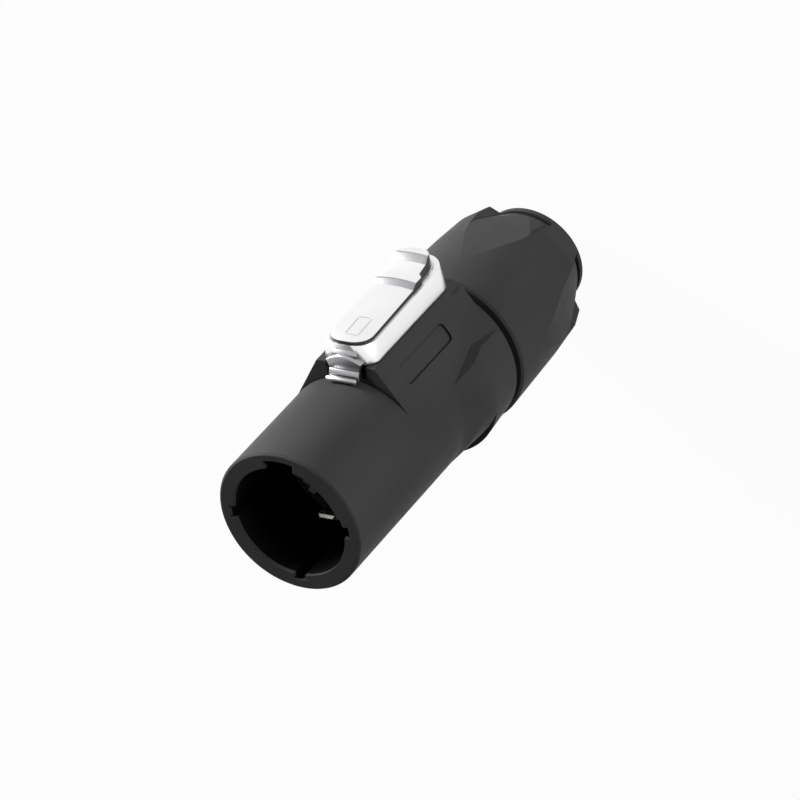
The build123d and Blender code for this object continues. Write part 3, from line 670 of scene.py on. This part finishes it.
def shape_plate_vertex(vertex, rim, outline):
    """Narrows the pad behind its waist and turns the vertex's level into its height."""
    level = round(vertex.co.z)
    on_rim = vertex not in outline and abs(vertex.co.x) < rim + TOUCH
    if level > PLATE_EDGE or level == PLATE_EDGE and on_rim:
        narrow = min(1, max(0, (WAIST - vertex.co.y) / WAIST_LENGTH))
        vertex.co.x *= 1 + narrow * (LOBE_SHARE - 1)
    table = PAD_PROFILE if level == PAD_FACE else PLATE_SLOPE
    height = crown_height(between(table, vertex.co.y), vertex.co.x)
    if level == GROOVE_FLOOR:
        height -= PAD_GROOVE_DEPTH
    vertex.co.z = PLATFORM_HEIGHT if level == PLATE_FOOT else height


def latch_plate():
    """Plate and pad as one skin, with painted shade on the pad's two steps and in its groove."""
    shape = bmesh.new()
    rim = PLATE_TOP_HALF_WIDTH - PAD_MARGIN
    rings = plate_rings(shape, rim, rim - PAD_GROOVE)
    for lower, upper in zip(rings, rings[1:]):
        bmesh.ops.bridge_loops(shape, edges=lower + upper)
    bmesh.ops.edgeloop_fill(shape, edges=rings[0])
    bmesh.ops.edgeloop_fill(shape, edges=rings[-1])
    profile_cuts = [place for place, _ in PAD_PROFILE[1:-1]]
    cut_across(shape, lambda face: True, (*profile_cuts, WAIST, WAIST - WAIST_LENGTH, *LOBE_CUTS), ALONG)
    cut_across(shape, on_pad, CROWN_CUTS, ACROSS)
    # Painted shade: faces in the groove get the dark copy of the metal
    for face in shape.faces:
        in_groove = any(round(vertex.co.z) == GROOVE_FLOOR for vertex in face.verts)
        face.material_index = GROOVE_SHADE if in_groove else POLISHED
    outline = {vertex for edge in rings[0] + rings[1] for vertex in edge.verts}
    for vertex in shape.verts:
        shape_plate_vertex(vertex, rim, outline)
    bmesh.ops.recalc_face_normals(shape, faces=shape.faces)
    round_sharp_edges(shape, EDGE_ROUND)
    # Painted shade: the steps that lean to the front get the grey copy of the metal
    for face in shape.faces:
        if face.material_index == POLISHED and on_step(face):
            face.material_index = SHADE_PAINTED
    return shape


def side_profile(shape, outline, half_width):
    """Bar with an outline seen from the side, as pairs of place along the axis and height."""
    points = [shape.verts.new((-half_width, y, z)) for y, z in outline]
    face = shape.faces.new(points)
    extrude_faces(shape, [face], 2 * half_width * ACROSS)


def tongue_dome():
    """Fan with a round top, seen along the axis, with a well rounded front edge."""
    shape = bmesh.new()
    rise = DOME_TOP - DOME_SHOULDER
    radius = (DOME_HALF_WIDTH**2 + rise**2) / (2 * rise)
    half_turn = asin(DOME_HALF_WIDTH / radius)
    points = [shape.verts.new((x, DOME_BACK, DOME_FOOT)) for x in (-TONGUE_HALF_WIDTH, TONGUE_HALF_WIDTH)]
    for step in range(CORNER_STEPS):
        angle = half_turn * (1 - 2 * step / (CORNER_STEPS - 1))
        height = DOME_TOP - radius + radius * cos(angle)
        points.append(shape.verts.new((radius * sin(angle), DOME_BACK, height)))
    face = shape.faces.new(points)
    extrude_faces(shape, [face], (DOME_FRONT - DOME_BACK) * ALONG)
    bmesh.ops.recalc_face_normals(shape, faces=shape.faces)
    front = [edge for edge in shape.edges if min(vertex.co.y for vertex in edge.verts) > DOME_FRONT - TOUCH]
    round_edges(shape, front, DOME_ROUND, DOME_SEGMENTS)
    # Painted shade: the whole dome gets the grey copy of the metal
    for face in shape.faces:
        face.material_index = SHADE_PAINTED
    return shape


def latch_tongue():
    """Locking tongue over the barrel, with the root that joins it to the plate."""
    shape = bmesh.new()
    side_profile(shape, TONGUE_PROFILE, TONGUE_HALF_WIDTH)
    side_profile(shape, ROOT_PROFILE, ROOT_HALF_WIDTH)
    bmesh.ops.recalc_face_normals(shape, faces=shape.faces)
    round_sharp_edges(shape, TONGUE_ROUND)
    # Painted shade: the whole tongue and its root get the grey copy of the metal
    for face in shape.faces:
        face.material_index = SHADE_PAINTED
    return shape


def latch_foot():
    """Foot with the slot of the stop pin, a grid of nine faces without its middle, under a split neck."""
    shape = bmesh.new()
    half_grid = 1.5
    bmesh.ops.create_grid(shape, x_segments=3, y_segments=3, size=half_grid)
    foot_rear = FOOT_FRONT - FOOT_LENGTH
    slot_rear = foot_rear + FOOT_BAR
    across = (-FOOT_HALF_WIDTH, -SLOT_HALF_WIDTH, SLOT_HALF_WIDTH, FOOT_HALF_WIDTH)
    along = (foot_rear, slot_rear, slot_rear + SLOT_LENGTH, FOOT_FRONT)
    middle = min(shape.faces, key=lambda face: face.calc_center_median().length)
    bmesh.ops.delete(shape, geom=[middle], context="FACES_ONLY")
    for vertex in shape.verts:
        column, row = round(vertex.co.x + half_grid), round(vertex.co.y + half_grid)
        vertex.co = (across[column], along[row], FOOT_HEIGHT)
    extrude_faces(shape, shape.faces[:], FOOT_THICKNESS * UPWARD)
    neck_top = PLATFORM_HEIGHT + NECK_SEAT
    neck_size = (NECK_HALF_WIDTH - SLOT_HALF_WIDTH, FOOT_LENGTH, neck_top - FOOT_HEIGHT, 1)
    for side in (-1, 1):
        x = (NECK_HALF_WIDTH + SLOT_HALF_WIDTH) / 2 * side
        place = Matrix.Translation((x, FOOT_FRONT - FOOT_LENGTH / 2, (neck_top + FOOT_HEIGHT) / 2))
        bmesh.ops.create_cube(shape, size=1, matrix=place @ Matrix.Diagonal(neck_size))
    bmesh.ops.recalc_face_normals(shape, faces=shape.faces)
    return shape


def slide_mark():
    """Raised outline on the pad that shows where the thumb goes."""
    shape = bmesh.new()
    rings = []
    for inset, rise in ((0, -MARK_SEAT), (0, MARK_RISE), (MARK_WIDTH, MARK_RISE), (MARK_WIDTH, -MARK_SEAT)):
        front, rear = MARK_FRONT - inset, MARK_REAR + inset
        ring = rounded_loop(shape, MARK_HALF_WIDTH - inset, front, rear, MARK_CORNER, MARK_CORNER, 0)
        for vertex in {vertex for edge in ring for vertex in edge.verts}:
            vertex.co.x += MARK_SHIFT
            vertex.co.z = crown_height(between(PAD_PROFILE, vertex.co.y), vertex.co.x) + rise
        rings.append(ring)
    for lower, upper in zip(rings, rings[1:] + rings[:1]):
        bmesh.ops.bridge_loops(shape, edges=lower + upper)
    bmesh.ops.recalc_face_normals(shape, faces=shape.faces)
    return shape


def joined(shapes):
    whole = bmesh.new()
    for shape in shapes:
        part = bpy.data.meshes.new("part")
        shape.to_mesh(part)
        shape.free()
        whole.from_mesh(part)
        bpy.data.meshes.remove(part)
    return whole


def finished_piece(name, shape, *materials):
    """Object from a shape, smooth but for its sharp edges."""
    for face in shape.faces:
        face.smooth = True
    for edge in shape.edges:
        edge.smooth = len(edge.link_faces) == 2 and edge.calc_face_angle(0) < radians(SMOOTH_ANGLE)
    mesh = bpy.data.meshes.new(name)
    shape.to_mesh(mesh)
    shape.free()
    for material in materials:
        mesh.materials.append(material)
    piece = bpy.data.objects.new(name, mesh)
    bpy.context.scene.collection.objects.link(piece)
    return piece


def latch_casting():
    """Latch in one piece. Its tongue ends where the CAD latch's does."""
    tip = node_range("latch_slider")[1]
    platform_front = tip / MM - TONGUE_REACH
    shape = joined([latch_plate(), latch_tongue(), tongue_dome(), latch_foot(), slide_mark()])
    # Height becomes -y, and the place along the axis becomes z
    turn = Matrix(((1, 0, 0, 0), (0, 0, -1, 0), (0, 1, 0, platform_front), (0, 0, 0, 1)))
    bmesh.ops.transform(shape, matrix=Matrix.Scale(MM, 4) @ turn, verts=shape.verts)
    # Polished metal, then grey and dark copies of it that paint shade on steps, tongue, dome and groove
    polished = cast_zinc("latch_metal", POLISHED_TONES)
    shade_painted = cast_zinc("latch_painted_shade_metal", SHADE_PAINTED_TONES)
    groove_shade = cast_zinc("latch_groove_shade_metal", GROOVE_SHADE_TONES)
    piece = finished_piece("latch_casting", shape, polished, shade_painted, groove_shade)
    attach(piece, "latch")
    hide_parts("latch_slider")


def return_spring():
    """Coil that stands in the housing."""
    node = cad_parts["latch_spring"]
    shape = bmesh.new()
    shape.from_mesh(node.data)
    bmesh.ops.remove_doubles(shape, verts=shape.verts, dist=SPRING_MERGE)
    piece = finished_piece("return_spring", shape, node.data.materials[0])
    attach(piece, "housing")
    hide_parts("latch_spring")
    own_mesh(piece)


place_camera()
white_room()
pale_floor()
soft_box("key_box", angle=-58, height=6, distance=0.9, size=(0.3, 0.5), power=23)
soft_box("side_box", angle=66, height=3, distance=0.9, size=(0.1, 0.4), power=7)
finish_cad_nodes()
latch_casting()
return_spring()

bpy.context.scene.view_settings.view_transform = "Standard"
